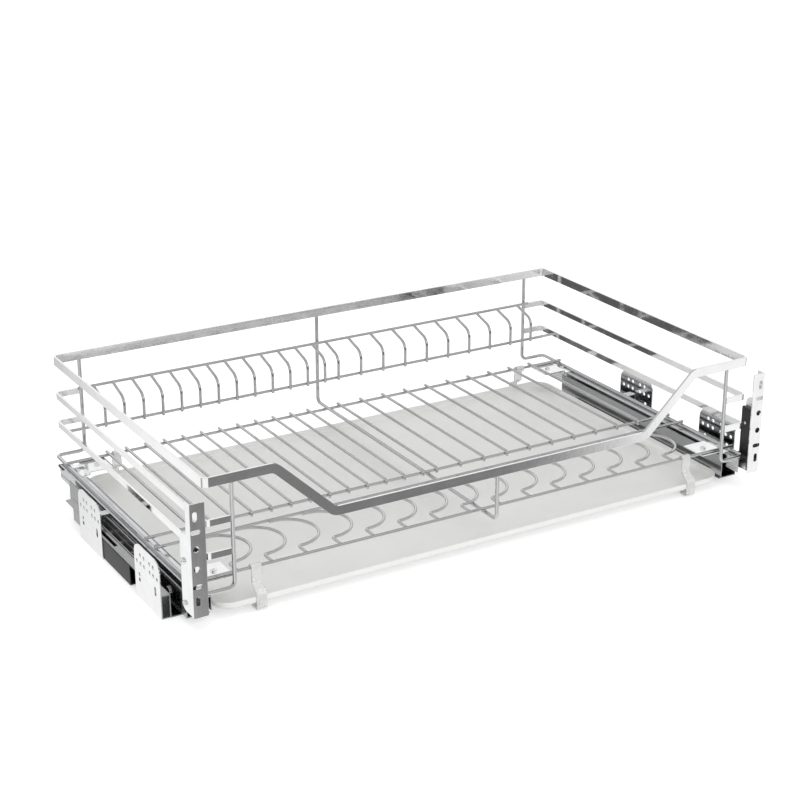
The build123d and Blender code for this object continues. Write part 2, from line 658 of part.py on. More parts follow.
def rollers(side):
    """Lying rollers that carry the load, and standing ones that guide sideways."""
    lying = [
        rod(
            (side * (FLAT_ROLLER_OUT - ROLLER_HALF), y, FLAT_ROLLER_Z),
            (side * (FLAT_ROLLER_OUT + ROLLER_HALF), y, FLAT_ROLLER_Z),
            ROLLER_RADIUS,
        )
        for y in FLAT_ROLLER_PLACES
    ]
    standing = [
        rod(
            (side * UPRIGHT_ROLLER_OUT, y, UPRIGHT_ROLLER_Z - ROLLER_HALF),
            (side * UPRIGHT_ROLLER_OUT, y, UPRIGHT_ROLLER_Z + ROLLER_HALF),
            ROLLER_RADIUS,
        )
        for y in UPRIGHT_ROLLER_PLACES
    ]
    return solids_of(lying + standing)


def roller_cage(side):
    """An angle that keeps the rollers in step, with a window for each."""
    y_span = (ROLLER_CAGE_Y - ROLLER_CAGE_LENGTH / 2, ROLLER_CAGE_Y + ROLLER_CAGE_LENGTH / 2)
    half = CAGE_SHEET / 2
    window = ROLLER_RADIUS + ROLLER_WINDOW_PLAY
    window_half = ROLLER_HALF + ROLLER_WINDOW_PLAY
    inner = GUARD_OUT + ROLLER_CAGE_INNER
    outer = UPRIGHT_ROLLER_OUT + half
    bottom = FLAT_ROLLER_Z - half
    cage = side_block(side, (inner, outer), y_span, (bottom, bottom + CAGE_SHEET))
    cage = cage + side_block(side, (outer - CAGE_SHEET, outer), y_span, (bottom, ROLLER_CAGE_TOP))
    for y in FLAT_ROLLER_PLACES:
        out_span = (FLAT_ROLLER_OUT - window_half, FLAT_ROLLER_OUT + window_half)
        cage = cage - side_block(side, out_span, (y - window, y + window), (0, INTERMEDIATE_BASE))
    for y in UPRIGHT_ROLLER_PLACES:
        z_span = (UPRIGHT_ROLLER_Z - window_half, UPRIGHT_ROLLER_Z + window_half)
        cage = cage - side_block(side, (outer - 2 * CAGE_SHEET, WEB_IN), (y - window, y + window), z_span)
    return cage


def wall_bracket(side, middle_y):
    """A perforated plate on the cabinet wall, with a flange under the slide's soft-close unit."""
    y_span = (middle_y - BRACKET_LENGTH / 2, middle_y + BRACKET_LENGTH / 2)
    plate = side_block(side, (BRACKET_IN, WALL_OUT), y_span, (0, BRACKET_HEIGHT))
    top_corners = plate.edges().filter_by(Axis.X).group_by(Axis.Z)[-1]
    plate = fillet(top_corners, BRACKET_ROUND)
    plate = plate + side_block(side, (WEB_OUT, WALL_OUT), y_span, (0, SHEET))

    def hole(offset, z):
        start = (side * (BRACKET_IN - SHEET), middle_y + offset, z)
        return rod(start, (side * (WALL_OUT + SHEET), middle_y + offset, z), BRACKET_HOLE / 2)

    for direction in (-1, 1):
        for offset in (INNER_HOLE, MIDDLE_HOLE):
            plate = plate - hole(direction * offset, UPPER_ROW_Z)
        for offset in (INNER_HOLE, MIDDLE_HOLE, OUTER_HOLE):
            plate = plate - hole(direction * offset, LOWER_ROW_Z)
    for z in TWIN_HOLE_Z:
        plate = plate - hole(TWIN_HOLE_OFFSET, z)
    slot_half = (SLOT_LENGTH - BRACKET_HOLE) / 2
    slot_y = middle_y + SLOT_OFFSET
    slot_span = (slot_y - BRACKET_HOLE / 2, slot_y + BRACKET_HOLE / 2)
    slot_z = (SLOT_Z - slot_half, SLOT_Z + slot_half)
    plate = plate - hole(SLOT_OFFSET, SLOT_Z - slot_half)
    plate = plate - hole(SLOT_OFFSET, SLOT_Z + slot_half)
    return plate - side_block(side, (BRACKET_IN, WALL_OUT), slot_span, slot_z)


def soft_close_housing(side):
    """The plastic case between wall bracket and web, open at the front and along the catch's slot."""
    bottom = SHEET
    case = side_block(side, HOUSING_OUT, HOUSING_SPAN, (bottom, HOUSING_TOP))
    inner = (HOUSING_OUT[0] + HOUSING_WALL, HOUSING_OUT[1] - HOUSING_WALL)
    inner_y = (HOUSING_SPAN[0], HOUSING_SPAN[1] - HOUSING_WALL)
    case = case - side_block(side, inner, inner_y, (bottom + HOUSING_WALL, HOUSING_TOP - HOUSING_WALL))
    return case - catch_slot(side, (HOUSING_TOP - 2 * HOUSING_WALL, HOUSING_TOP + HOUSING_WALL))


CATCH_Y = ARM_Y + ARM_LENGTH / 2 + SLIDER_PLAY
SLIDER_SPAN = (CATCH_Y, CATCH_Y + SLIDER_LENGTH)


def soft_close_slider(side):
    """The sliding block inside the case, with the catch that the basket's arm pushes."""
    play = HOUSING_WALL + SLIDER_PLAY
    out_span = (HOUSING_OUT[0] + play, HOUSING_OUT[1] - play)
    body = side_block(side, out_span, SLIDER_SPAN, (SHEET + play, HOUSING_TOP - play))
    catch_span = (CATCH_OUT - CATCH_WIDTH / 2, CATCH_OUT + CATCH_WIDTH / 2)
    catch = side_block(side, catch_span, (CATCH_Y, CATCH_Y + CATCH_LENGTH), (HOUSING_TOP - play, CATCH_TOP))
    return body + catch


def soft_close_damper(side):
    """The damper's cylinder and its rod, which ends at the slider."""
    x = side * CATCH_OUT
    cylinder_end = DAMPER_FRONT_Y + DAMPER_LENGTH
    cylinder = rod((x, DAMPER_FRONT_Y, DAMPER_Z), (x, cylinder_end, DAMPER_Z), DAMPER_RADIUS)
    piston_rod = rod((x, cylinder_end, DAMPER_Z), (x, SLIDER_SPAN[0], DAMPER_Z), ROD_RADIUS)
    return [cylinder, piston_rod]


def soft_close_spring(side):
    """The spring behind the slider, as the sleeve that its turns fill."""
    x = side * CATCH_OUT
    start = (x, SLIDER_SPAN[1], SPRING_Z)
    end = (x, HOUSING_SPAN[1] - HOUSING_WALL, SPRING_Z)
    return rod(start, end, DAMPER_RADIUS) - rod(start, end, SPRING_BORE)


def soft_close_arm(side):
    """The strap on the drawer member that reaches over to the catch."""
    y_span = (ARM_Y - ARM_LENGTH / 2, ARM_Y + ARM_LENGTH / 2)
    arm_z = (INTERMEDIATE_TOP + ARM_LIFT, INTERMEDIATE_TOP + ARM_LIFT + SHEET)
    leg = (CATCH_OUT - SHEET / 2, CATCH_OUT + SHEET / 2)
    strap = side_block(side, (DRAWER_OUT, leg[1]), y_span, arm_z)
    return strap + side_block(side, leg, y_span, (ARM_DROP_Z, arm_z[1]))


def drawer_end_cap(side):
    """The plastic plug in the drawer member's rear end, with an ear on the outside."""
    y_span = (DRAWER_SPAN[1] - CAP_LENGTH, DRAWER_SPAN[1])
    inside = SHEET + CAP_PLAY
    plug_out = (DRAWER_IN + inside, DRAWER_OUT - inside)
    plug = side_block(side, plug_out, y_span, (CAP_BOTTOM, DRAWER_TOP - inside))
    back = side_block(
        side, (DRAWER_IN, DRAWER_OUT + CAP_EAR), (y_span[1], y_span[1] + SHEET),
        (INTERMEDIATE_TOP + ARM_LIFT, DRAWER_TOP),
    )
    ear = side_block(
        side, (DRAWER_OUT + CAP_PLAY, DRAWER_OUT + CAP_EAR), (y_span[0], y_span[1] + SHEET),
        (INTERMEDIATE_TOP + ARM_LIFT, DRAWER_TOP),
    )
    lower_back = side_block(side, plug_out, (y_span[1], y_span[1] + SHEET), (CAP_BOTTOM, DRAWER_TOP))
    return plug + back + ear + lower_back


def plate_screw_places(side):
    """The two screws that hold a front plate's flange."""
    y = PLATE_FACE_Y + PLATE_SCREW_SETBACK
    return [(side * PLATE_OUT, y, z) for z in PLATE_SCREW_Z]


def front_plate(side):
    """The angle that the cabinet's front panel is screwed to."""
    wide_low, wide_high = WIDE_FLANGE_SPAN
    face = side_block(side, (PLATE_OUT - PLATE_WIDTH, PLATE_OUT), (PLATE_FACE_Y, PLATE_BACK_Y), PLATE_SPAN)
    narrow = side_block(
        side, (FLANGE_IN, PLATE_OUT), (PLATE_FACE_Y, PLATE_FACE_Y + NARROW_FLANGE), (wide_low, PLATE_SPAN[1])
    )
    wide_y = (PLATE_FACE_Y, PLATE_FACE_Y + WIDE_FLANGE)
    wide = side_block(side, (FLANGE_IN, PLATE_OUT), wide_y, WIDE_FLANGE_SPAN)
    wide = fillet(wide.edges().filter_by(Axis.X).group_by(Axis.Y)[-1], FLANGE_ROUND)
    angle = face + narrow + wide

    def bore(radius, out, z):
        x = side * out
        return rod((x, PLATE_FACE_Y - SHEET, z), (x, PLATE_BACK_Y + SHEET, z), radius)

    def slot(width, height, z):
        middle = (PLATE_FACE_Y + PLATE_BACK_Y) / 2
        outline = Plane(origin=(side * PLATE_HOLE_OUT, middle, z), z_dir=(0, -1, 0), x_dir=(1, 0, 0))
        return extrude(outline * RectangleRounded(width, height, min(width, height) / 2 - EDGE_ROUND / 2),
                       amount=2 * SHEET, both=True)

    for z in PLATE_HOLE_Z:
        angle = angle - bore(PLATE_HOLE / 2, PLATE_HOLE_OUT, z)
    narrow_side, long_side = PLATE_SLOT
    for z in UPRIGHT_SLOT_Z:
        angle = angle - slot(narrow_side, long_side, z)
    for z in LEVEL_SLOT_Z:
        angle = angle - slot(long_side, narrow_side, z)
    for place in plate_screw_places(side):
        angle = angle - screw_hole(place, (-side, 0, 0))
    return angle


def front_catch(side):
    """The plastic block that joins drawer member and front plate, with an upright for the upper screw."""
    y_span = (PLATE_BACK_Y, PLATE_BACK_Y + CATCH_BLOCK_DEPTH)
    low = side_block(side, (DRAWER_OUT, FLANGE_IN), y_span, CATCH_BLOCK_SPAN)
    upright_y = (PLATE_BACK_Y + SHEET, PLATE_BACK_Y + CATCH_BLOCK_DEPTH)
    upright_out = (FLANGE_IN - CATCH_UPRIGHT_THICKNESS, FLANGE_IN)
    upright_z = (CATCH_BLOCK_SPAN[0], CATCH_UPRIGHT_TOP)
    upright = side_block(side, upright_out, upright_y, upright_z)
    joined = low + upright
    for place in plate_screw_places(side):
        joined = joined - screw_hole(place, (-side, 0, 0))
    return joined


def front_plate_screws():
    """The four screws of the front plates."""
    return solids_of([
        screw(place, (-side, 0, 0)) for side in SIDES.values() for place in plate_screw_places(side)
    ])


TRAY_OUT = GUARD_IN - TRAY_GAP
TRAY_FRONT_Y = FRONT_WIRE_Y - TRAY_LEAD
TRAY_REAR_Y = REAR_WIRE_Y + TRAY_LEAD


def drip_tray():
    """A shallow tray under the floor wires."""
    depth = TRAY_REAR_Y - TRAY_FRONT_Y
    middle_y = (TRAY_REAR_Y + TRAY_FRONT_Y) / 2
    outside = RectangleRounded(2 * TRAY_OUT, depth, TRAY_CORNER)
    inside = RectangleRounded(2 * (TRAY_OUT - TRAY_SHEET), depth - 2 * TRAY_SHEET, TRAY_CORNER - TRAY_SHEET)
    body = extrude(outside, amount=TRAY_HEIGHT)
    body = fillet(body.edges().group_by(Axis.Z)[0], TRAY_BOTTOM_ROUND)
    hollow = Pos(0, 0, TRAY_SHEET) * extrude(inside, amount=TRAY_HEIGHT)
    hollow = fillet(hollow.edges().group_by(Axis.Z)[0], TRAY_BOTTOM_ROUND - TRAY_SHEET)
    return Pos(0, middle_y, TRAY_BOTTOM) * (body - hollow)


def tray_clip(x, wire_y, facing):
    """A strip that hooks over a floor wire, steps outwards and turns up again under the tray."""
    half = CLIP_THICKNESS / 2
    hook = FLOOR_R + CLIP_PLAY + half
    outside = TRAY_LEAD + CLIP_PLAY + half
    tip_z = TRAY_BOTTOM - CLIP_PLAY
    step_high, step_low = CLIP_STEP_Z
    line = FilletPolyline(
        (-hook, CROSS_Z - CLIP_TAIL),
        (-hook, CROSS_Z + hook),
        (hook, CROSS_Z + hook),
        (hook, step_high),
        (outside, step_low),
        (outside, CLIP_TOE_Z),
        (outside - CLIP_TOE, CLIP_TOE_Z),
        (outside - CLIP_TOE, tip_z),
        radius=[hook - CLIP_PLAY, hook - CLIP_PLAY, CLIP_CURL, CLIP_CURL, CLIP_CURL, CLIP_CURL],
    )
    band = trace(line, line_width=CLIP_THICKNESS)
    standing = Plane(origin=(x - CLIP_WIDTH / 2, wire_y, 0), x_dir=(0, facing, 0), z_dir=(facing, 0, 0))
    return extrude(standing * band, amount=CLIP_WIDTH * facing)


def front_tray_clips():
    """The two clips on the front floor wire."""
    return solids_of([tray_clip(side * CLIP_X, FRONT_WIRE_Y, -1) for side in SIDES.values()])


def rear_tray_clips():
    """The two clips on the rear floor wire, each between the two outermost plate wires."""
    clips = []
    for name in SIDES:
        outermost, second = field_places(name)[:2]
        clips.append(tray_clip((outermost + second) / 2, REAR_WIRE_Y, 1))
    return solids_of(clips)


def all_parts():
    """Every sub-part by its node name."""
    parts = {
        "top_rail": top_rail(),
        "centre_frame": centre_frame(),
        "floor_wire_front": cross_wire(FRONT_WIRE_Y),
        "floor_wires_middle": solids_of([cross_wire(HOLDER_BACK_Y), cross_wire(PLATE_FRONT_Y)]),
        "floor_wire_rear": cross_wire(REAR_WIRE_Y),
        "jar_holder_arcs": holder_arcs(),
        "rack_wire_upper": rack_upper_wire(),
        "rack_wire_lower": rack_lower_wire(),
        "fixing_screws": fixing_screws(),
        "front_plate_screws": front_plate_screws(),
        "drip_tray": drip_tray(),
        "tray_clips_front": front_tray_clips(),
        "tray_clips_rear": rear_tray_clips(),
        "soft_close_sliders": solids_of([soft_close_slider(side) for side in SIDES.values()]),
        "soft_close_dampers": solids_of(
            [piece for side in SIDES.values() for piece in soft_close_damper(side)]
        ),
        "soft_close_springs": solids_of([soft_close_spring(side) for side in SIDES.values()]),
    }
    for name, side in SIDES.items():
        parts[f"middle_rail_{name}"] = side_rail(side, MIDDLE_RAIL_Z)
        parts[f"lower_rail_{name}"] = side_rail(side, LOWER_RAIL_Z)
        parts[f"side_frame_{name}"] = side_frame(side)
        parts[f"plate_wires_{name}"] = plate_wires(name)
        parts[f"rack_wires_{name}"] = rack_wires(name)
        parts[f"fixing_plates_{name}"] = fixing_plates(side)
        parts[f"front_plate_{name}"] = front_plate(side)
        parts[f"front_catch_{name}"] = front_catch(side)
        parts[f"drawer_member_{name}"] = drawer_member(side)
        parts[f"drawer_end_cap_{name}"] = drawer_end_cap(side)
        parts[f"soft_close_arm_{name}"] = soft_close_arm(side)
        parts[f"ball_cage_{name}"] = ball_cage(side)
        parts[f"balls_{name}"] = balls(side)
        parts[f"intermediate_member_{name}"] = intermediate_member(side)
        parts[f"stop_rivet_{name}"] = stop_rivet(side)
        parts[f"roller_cage_{name}"] = roller_cage(side)
        parts[f"rollers_{name}"] = rollers(side)
        parts[f"cabinet_member_{name}"] = cabinet_member(side)
        parts[f"soft_close_housing_{name}"] = soft_close_housing(side)
        parts[f"wall_bracket_front_{name}"] = wall_bracket(side, FRONT_BRACKET_Y)
        parts[f"wall_bracket_rear_{name}"] = wall_bracket(side, REAR_BRACKET_Y)
    return parts


os.makedirs("parts", exist_ok=True)
for node, shape in all_parts().items():
    export_step(shape, f"parts/{node}.step")
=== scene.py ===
import math
import random

import bmesh
import bpy
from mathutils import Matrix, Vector


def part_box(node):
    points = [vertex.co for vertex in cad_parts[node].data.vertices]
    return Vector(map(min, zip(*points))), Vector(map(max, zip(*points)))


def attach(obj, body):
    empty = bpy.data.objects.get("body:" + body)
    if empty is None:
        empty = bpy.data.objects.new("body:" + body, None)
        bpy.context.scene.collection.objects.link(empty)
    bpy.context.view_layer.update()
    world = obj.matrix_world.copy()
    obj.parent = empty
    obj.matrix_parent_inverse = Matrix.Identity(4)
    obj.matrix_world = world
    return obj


# A pull-out cabinet basket: materials, weld beads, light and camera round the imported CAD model.
# Lengths are metres, in the CAD's own frame.

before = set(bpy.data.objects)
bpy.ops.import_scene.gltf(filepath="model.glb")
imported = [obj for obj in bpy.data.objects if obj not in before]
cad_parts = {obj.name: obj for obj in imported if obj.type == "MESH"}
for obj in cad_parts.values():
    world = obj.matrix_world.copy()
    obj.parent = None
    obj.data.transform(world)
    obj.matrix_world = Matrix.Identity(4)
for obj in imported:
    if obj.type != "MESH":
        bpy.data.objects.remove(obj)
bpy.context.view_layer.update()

SEED = 7
MM = 0.001
EDGE_SAMPLES = 6


# ---- shader helpers ----

def start_material(name):
    """A new material with its node tree, its main shader and object coordinates."""
    material = bpy.data.materials.new(name)
    material.use_nodes = True
    tree = material.node_tree
    shader = tree.nodes["Principled BSDF"]
    coords = tree.nodes.new("ShaderNodeTexCoord")
    return material, tree, shader, coords.outputs["Object"]


def stretched(tree, coords, scale):
    """Coordinates scaled by axis, so that a pattern runs along the axis with the small number."""
    mapping = tree.nodes.new("ShaderNodeMapping")
    mapping.inputs["Scale"].default_value = scale
    tree.links.new(coords, mapping.inputs["Vector"])
    return mapping.outputs["Vector"]


def noise(tree, coords, scale, detail, roughness):
    """A noise pattern from 0 to 1."""
    node = tree.nodes.new("ShaderNodeTexNoise")
    node.inputs["Scale"].default_value = scale
    node.inputs["Detail"].default_value = detail
    node.inputs["Roughness"].default_value = roughness
    tree.links.new(coords, node.inputs["Vector"])
    return node.outputs["Fac"]


def spread(tree, value, low, high, to_low, to_high):
    """value, moved from the range low to high to the range to_low to to_high, and held there."""
    node = tree.nodes.new("ShaderNodeMapRange")
    node.inputs["From Min"].default_value = low
    node.inputs["From Max"].default_value = high
    node.inputs["To Min"].default_value = to_low
    node.inputs["To Max"].default_value = to_high
    tree.links.new(value, node.inputs["Value"])
    return node.outputs["Result"]


def combined(tree, operation, first, second):
    """Two values put through a math node, such as ADD, MULTIPLY or MAXIMUM."""
    node = tree.nodes.new("ShaderNodeMath")
    node.operation = operation
    tree.links.new(first, node.inputs[0])
    tree.links.new(second, node.inputs[1])
    return node.outputs["Value"]


def add(tree, first, second):
    """The sum of two values."""
    return combined(tree, "ADD", first, second)


def colour_between(tree, value, dark, light):
    """A colour that runs from dark to light as value goes from 0 to 1."""
    ramp = tree.nodes.new("ShaderNodeValToRGB")
    ramp.color_ramp.elements[0].color = (*dark, 1)
    ramp.color_ramp.elements[1].color = (*light, 1)
    tree.links.new(value, ramp.inputs["Fac"])
    return ramp.outputs["Color"]


def bump(tree, shader, height, distance, strength, normal=None):
    """A relief on the shader's surface, optionally on top of another normal."""
    node = tree.nodes.new("ShaderNodeBump")
    node.inputs["Distance"].default_value = distance
    node.inputs["Strength"].default_value = strength
    tree.links.new(height, node.inputs["Height"])
    if normal is not None:
        tree.links.new(normal, node.inputs["Normal"])
    tree.links.new(node.outputs["Normal"], shader.inputs["Normal"])


def eased_edges(tree, radius):
    """A normal that rounds sharp edges a little, as rolled and plated steel is."""
    node = tree.nodes.new("ShaderNodeBevel")
    node.samples = EDGE_SAMPLES
    node.inputs["Radius"].default_value = radius
    return node.outputs["Normal"]


# ---- materials ----

# how fine each pattern is, in repeats a metre
SMUDGE_SCALE = 26.0
DRAWN_MARK_SCALE = 60.0
RIPPLE_SCALE = 180.0
CLOUD_SCALE = 45.0
STREAK_SCALE = 220.0
TONE_SCALE = 18.0
SCUFF_SCALE = 400.0
FLOW_SCALE = 120.0

CHROME_ROUGHNESS = (0.035, 0.09)   # clean metal, smudge
CHROME_MARK_ROUGHNESS = 0.06
CHROME_DARKER = 0.9                # the darkest tint, as a share of the lightest
CHROME_RELIEF = 0.02 * MM
ZINC_DARKER = 0.84
ZINC_CLOUDED = 1.8                 # roughness in a cloudy patch, as a share of the clean metal's
ZINC_RELIEF = 0.03 * MM
ZINC_EDGE = 0.3 * MM
PLASTIC_GLOSS = (-0.06, 0.04)      # added to the roughness: rubbed, dull
PLASTIC_SCUFF = 0.08
CLIP_DARK = (0.90, 0.91, 0.90)
CLIP_LIGHT = (0.97, 0.975, 0.97)
CLIP_ROUGHNESS = (0.16, 0.3)
CLIP_IOR = 1.49
CLIP_SEE_THROUGH = 0.45
CLIP_RELIEF = 0.08 * MM


def chrome(name, along, edge, light):
    """Bright chrome: mirror-like, with marks along the metal, smudges and a slight ripple."""
    material, tree, shader, coords = start_material(name)
    shader.inputs["Metallic"].default_value = 1.0
    smudge = noise(tree, coords, SMUDGE_SCALE, 5.0, 0.6)
    marks = noise(tree, stretched(tree, coords, along), DRAWN_MARK_SCALE, 3.0, 0.7)
    tint = add(
        tree,
        spread(tree, smudge, 0.35, 0.7, 0.0, 0.7),
        spread(tree, marks, 0.4, 0.7, 0.0, 0.3),
    )
    dark = tuple(CHROME_DARKER * part for part in light)
    tree.links.new(colour_between(tree, tint, dark, light), shader.inputs["Base Color"])
    rough = add(
        tree,
        spread(tree, smudge, 0.4, 0.75, *CHROME_ROUGHNESS),
        spread(tree, marks, 0.4, 0.8, 0.0, CHROME_MARK_ROUGHNESS),
    )
    tree.links.new(rough, shader.inputs["Roughness"])
    ripple = spread(tree, noise(tree, coords, RIPPLE_SCALE, 2.0, 0.5), 0.3, 0.7, 0.0, 1.0)
    normal = eased_edges(tree, edge) if edge else None
    bump(tree, shader, add(tree, ripple, marks), CHROME_RELIEF, 0.5, normal)
    return material


def zinc(name, along, light, rough=0.12):
    """Zinc-plated sheet: satin metal with rolling streaks and cloudy patches."""
    material, tree, shader, coords = start_material(name)
    shader.inputs["Metallic"].default_value = 1.0
    cloud = noise(tree, coords, CLOUD_SCALE, 6.0, 0.6)
    streak = noise(tree, stretched(tree, coords, along), STREAK_SCALE, 4.0, 0.7)
    tint = add(
        tree,
        spread(tree, cloud, 0.3, 0.7, 0.0, 0.55),
        spread(tree, streak, 0.3, 0.7, 0.0, 0.45),
    )
    dark = tuple(ZINC_DARKER * part for part in light)
    tree.links.new(colour_between(tree, tint, dark, light), shader.inputs["Base Color"])
    satin = add(
        tree,
        spread(tree, cloud, 0.3, 0.7, rough, ZINC_CLOUDED * rough),
        spread(tree, streak, 0.3, 0.8, 0.0, rough),
    )
    tree.links.new(satin, shader.inputs["Roughness"])
    bump(tree, shader, streak, ZINC_RELIEF, 0.4, eased_edges(tree, ZINC_EDGE))
    return material


def plastic(name, dark, light, rough, grain_scale, grain_depth):
    """Moulded plastic: a fine leathery grain, cloudy tone and rubbed, glossier patches."""
    material, tree, shader, coords = start_material(name)
    cloud = noise(tree, coords, TONE_SCALE, 5.0, 0.55)
    grain = noise(tree, coords, grain_scale, 4.0, 0.6)
    scuff = noise(tree, stretched(tree, coords, (0.2, 1.0, 1.0)), SCUFF_SCALE, 2.0, 0.6)
    tone = add(
        tree,
        spread(tree, cloud, 0.3, 0.7, 0.0, 0.7),
        spread(tree, grain, 0.35, 0.65, 0.0, 0.3),
    )
    tree.links.new(colour_between(tree, tone, dark, light), shader.inputs["Base Color"])
    rubbed, dull = [rough + change for change in PLASTIC_GLOSS]
    gloss = add(
        tree,
        spread(tree, cloud, 0.3, 0.7, rubbed, dull),
        spread(tree, scuff, 0.5, 0.8, 0.0, PLASTIC_SCUFF),
    )
    tree.links.new(gloss, shader.inputs["Roughness"])
    bump(tree, shader, grain, grain_depth, 0.6)
    return material


def clear(name):
    """Milky see-through plastic with flow marks."""
    material, tree, shader, coords = start_material(name)
    flow = noise(tree, stretched(tree, coords, (1.0, 1.0, 0.25)), FLOW_SCALE, 4.0, 0.6)
    tree.links.new(colour_between(tree, flow, CLIP_DARK, CLIP_LIGHT), shader.inputs["Base Color"])
    tree.links.new(spread(tree, flow, 0.3, 0.7, *CLIP_ROUGHNESS), shader.inputs["Roughness"])
    shader.inputs["IOR"].default_value = CLIP_IOR
    shader.inputs["Transmission Weight"].default_value = CLIP_SEE_THROUGH
    bump(tree, shader, flow, CLIP_RELIEF, 0.5)
    return material


ACROSS = (0.04, 1.0, 1.0)      # marks that run along x
LENGTHWISE = (1.0, 0.04, 1.0)  # marks that run along y
UPWARDS = (1.0, 1.0, 0.04)     # marks that run along z
EVEN = (1.0, 1.0, 1.0)
BAND_LIGHT = (0.97, 0.972, 0.975)
# painted shade: the wire and weld chrome is darker than the bands' chrome, standing in for the
# darker reflections along the wires
WIRE_PAINTED_SHADE = (0.64, 0.645, 0.65)
ZINC_LIGHT = (0.97, 0.973, 0.976)
PLATE_LIGHT = (0.97, 0.973, 0.976)
SLIDE_LIGHT = (0.80, 0.805, 0.82)
# painted shade: the intermediate and cabinet members are plated like the drawer member but painted
# far darker, for the shade inside the slide and behind the wall brackets
INNER_PAINTED_SHADE = (0.42, 0.425, 0.43)
OUTER_PAINTED_SHADE = (0.44, 0.444, 0.448)

BAND_EDGE = 0.45 * MM
BRACKET_ROUGH = 0.07
PLATE_ROUGH = 0.035
TRAY_DARK = (0.86, 0.86, 0.845)
TRAY_LIGHT = (0.92, 0.92, 0.905)
BLACK_DARK = (0.012, 0.012, 0.013)
BLACK_LIGHT = (0.035, 0.035, 0.037)
CASE_DARK = (0.006, 0.006, 0.0065)
CASE_LIGHT = (0.018, 0.018, 0.019)
PALE_DARK = (0.72, 0.72, 0.70)
PALE_LIGHT = (0.83, 0.83, 0.81)

looks = {
    "band": chrome("chrome_flat_bar", ACROSS, BAND_EDGE, BAND_LIGHT),
    # the wires and welds get the painted-shade chrome tint, darker than the bands'
    "wire_across": chrome("chrome_wire_across_painted_shade", ACROSS, 0.0, WIRE_PAINTED_SHADE),
    "wire_long": chrome("chrome_wire_lengthwise_painted_shade", LENGTHWISE, 0.0, WIRE_PAINTED_SHADE),
    "weld": chrome("chrome_weld_painted_shade", EVEN, 0.0, WIRE_PAINTED_SHADE),
    "slide": zinc("zinc_slide", LENGTHWISE, SLIDE_LIGHT),
    # painted shade: the intermediate and cabinet members get the darker zinc tints
    "shaded_inner_slide": zinc("zinc_inner_slide", LENGTHWISE, INNER_PAINTED_SHADE),
    "shaded_outer_slide": zinc("zinc_outer_slide", LENGTHWISE, OUTER_PAINTED_SHADE),
    "bracket": zinc("zinc_bracket", LENGTHWISE, ZINC_LIGHT, BRACKET_ROUGH),
    "plate": zinc("plated_front", UPWARDS, PLATE_LIGHT, PLATE_ROUGH),
    # name, darkest and lightest tint, roughness, grain's repeats a metre, grain's depth
    "tray": plastic("tray_satin", TRAY_DARK, TRAY_LIGHT, 0.36, 900.0, 0.06 * MM),
    "black": plastic("black_moulded", BLACK_DARK, BLACK_LIGHT, 0.42, 1400.0, 0.05 * MM),
    "case": plastic("dark_case", CASE_DARK, CASE_LIGHT, 0.42, 1200.0, 0.05 * MM),
    "pale": plastic("pale_nylon", PALE_DARK, PALE_LIGHT, 0.4, 1100.0, 0.04 * MM),
    "clear": clear("milky_clip"),
}

# the look of each node, by the start of its name; the longest start that fits counts
LOOK_OF_NODE = {
    "top_rail": "band", "middle_rail": "band", "lower_rail": "band",
    "side_frame": "wire_long", "centre_frame": "wire_long",
    "floor_wire": "wire_across", "rack_wire_": "wire_across",
    "jar_holder_arcs": "wire_long", "plate_wires": "wire_long", "rack_wires": "wire_long",
    "fixing_plates": "bracket", "fixing_screws": "bracket", "front_plate": "plate",
    "front_plate_screws": "bracket", "front_catch": "black",
    "drawer_member": "slide", "intermediate_member": "shaded_inner_slide", "cabinet_member": "shaded_outer_slide",
    "stop_rivet": "slide", "soft_close_arm": "slide", "balls": "slide", "rollers": "pale",
    "drawer_end_cap": "black", "ball_cage": "pale", "roller_cage": "pale",
    "soft_close_housing": "case", "soft_close_sliders": "pale", "soft_close_dampers": "bracket",
    "soft_close_springs": "bracket", "wall_bracket": "bracket",
    "drip_tray": "tray", "tray_clips": "clear",
}


def dress(node, look):
    """Gives a CAD node its material."""
    mesh = node.data
    mesh.materials.clear()
    mesh.materials.append(looks[look])


for name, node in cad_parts.items():
    best = max((key for key in LOOK_OF_NODE if name.startswith(key)), key=len)
    dress(node, LOOK_OF_NODE[best])


# ---- weld beads ----

# how far a bead departs from an ellipsoid, as shares of its half sizes
BEAD_LUMP = 0.16
BEAD_DENT = 0.10
BEAD_WAVE = 0.05
BEAD_GRAIN = 0.02


def islands(node_name):
    """The lowest and highest corner of each separate solid of a CAD node."""
    mesh = bmesh.new()
    mesh.from_mesh(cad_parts[node_name].data)
    bmesh.ops.remove_doubles(mesh, verts=mesh.verts, dist=1e-6)
    left = set(mesh.verts)
    boxes = []
    while left:
        stack = [left.pop()]
        group = []
        while stack:
            vert = stack.pop()
            group.append(vert.co.copy())
            for edge in vert.link_edges:
                other = edge.other_vert(vert)
                if other in left:
                    left.remove(other)
                    stack.append(other)
        low = Vector([min(co[axis] for co in group) for axis in range(3)])
        high = Vector([max(co[axis] for co in group) for axis in range(3)])
        boxes.append((low, high))
    mesh.free()
    return sorted(boxes, key=lambda box: (round(box[0].x, 5), round(box[0].y, 5)))


def centre(box):
    """The middle of a box."""
    return (box[0] + box[1]) / 2


